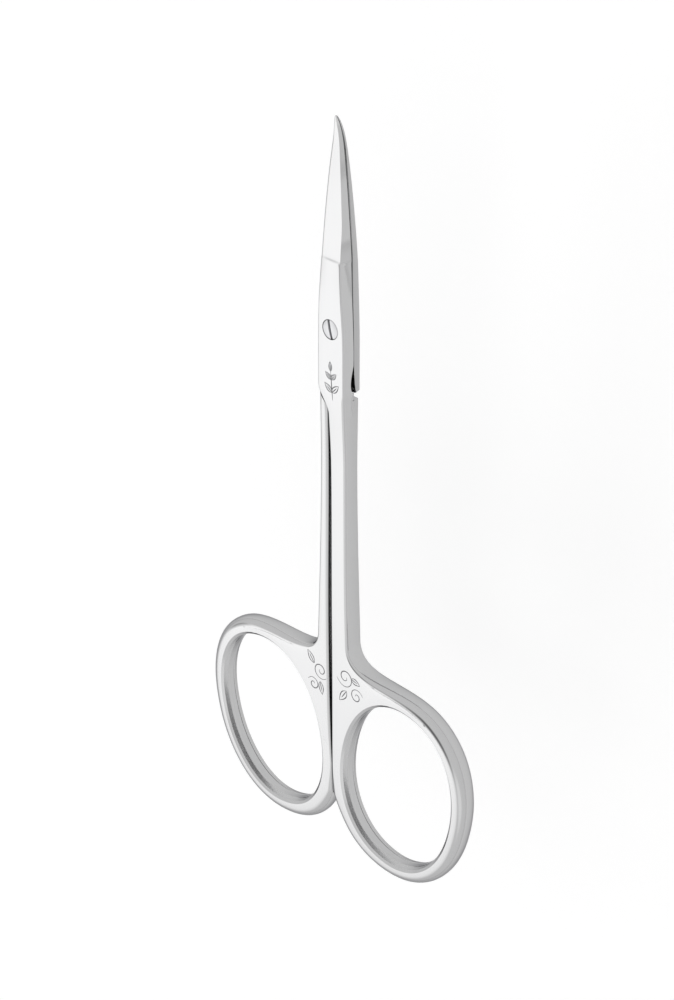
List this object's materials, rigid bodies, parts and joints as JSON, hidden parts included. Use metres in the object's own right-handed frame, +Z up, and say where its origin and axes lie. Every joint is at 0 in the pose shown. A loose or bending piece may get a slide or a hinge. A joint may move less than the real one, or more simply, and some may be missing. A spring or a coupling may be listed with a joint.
{
  "type": "cuticle scissors",
  "caption": "Slender steel cuticle scissors with curved pointed blades, a lapped screw joint and large oval finger rings.",
  "frame": {"origin": "on the pivot axis, in the plane of the joint's flat underside", "axes": "+X to the right seen from above, +Y towards the blade tips, +Z up out of the face that shows the screw slot"},
  "size_m": [0.0514, 0.1129, 0.0033],
  "materials": {
    "half_steel": "polished stainless steel with fine buffing marks",
    "screw_steel": "turned and lightly polished stainless steel"
  },
  "bodies": {
    "rear": {"rear_half": "half_steel", "pivot_screw": "screw_steel"},
    "front": {"front_half": "half_steel"}
  },
  "joints": [
    {"name": "blade_pivot", "type": "hinge", "parent": "rear", "child": "front", "pos_m": [0, 0, 0], "axis": [0, 0, 1], "range_deg": [0, 145]}
  ]
}
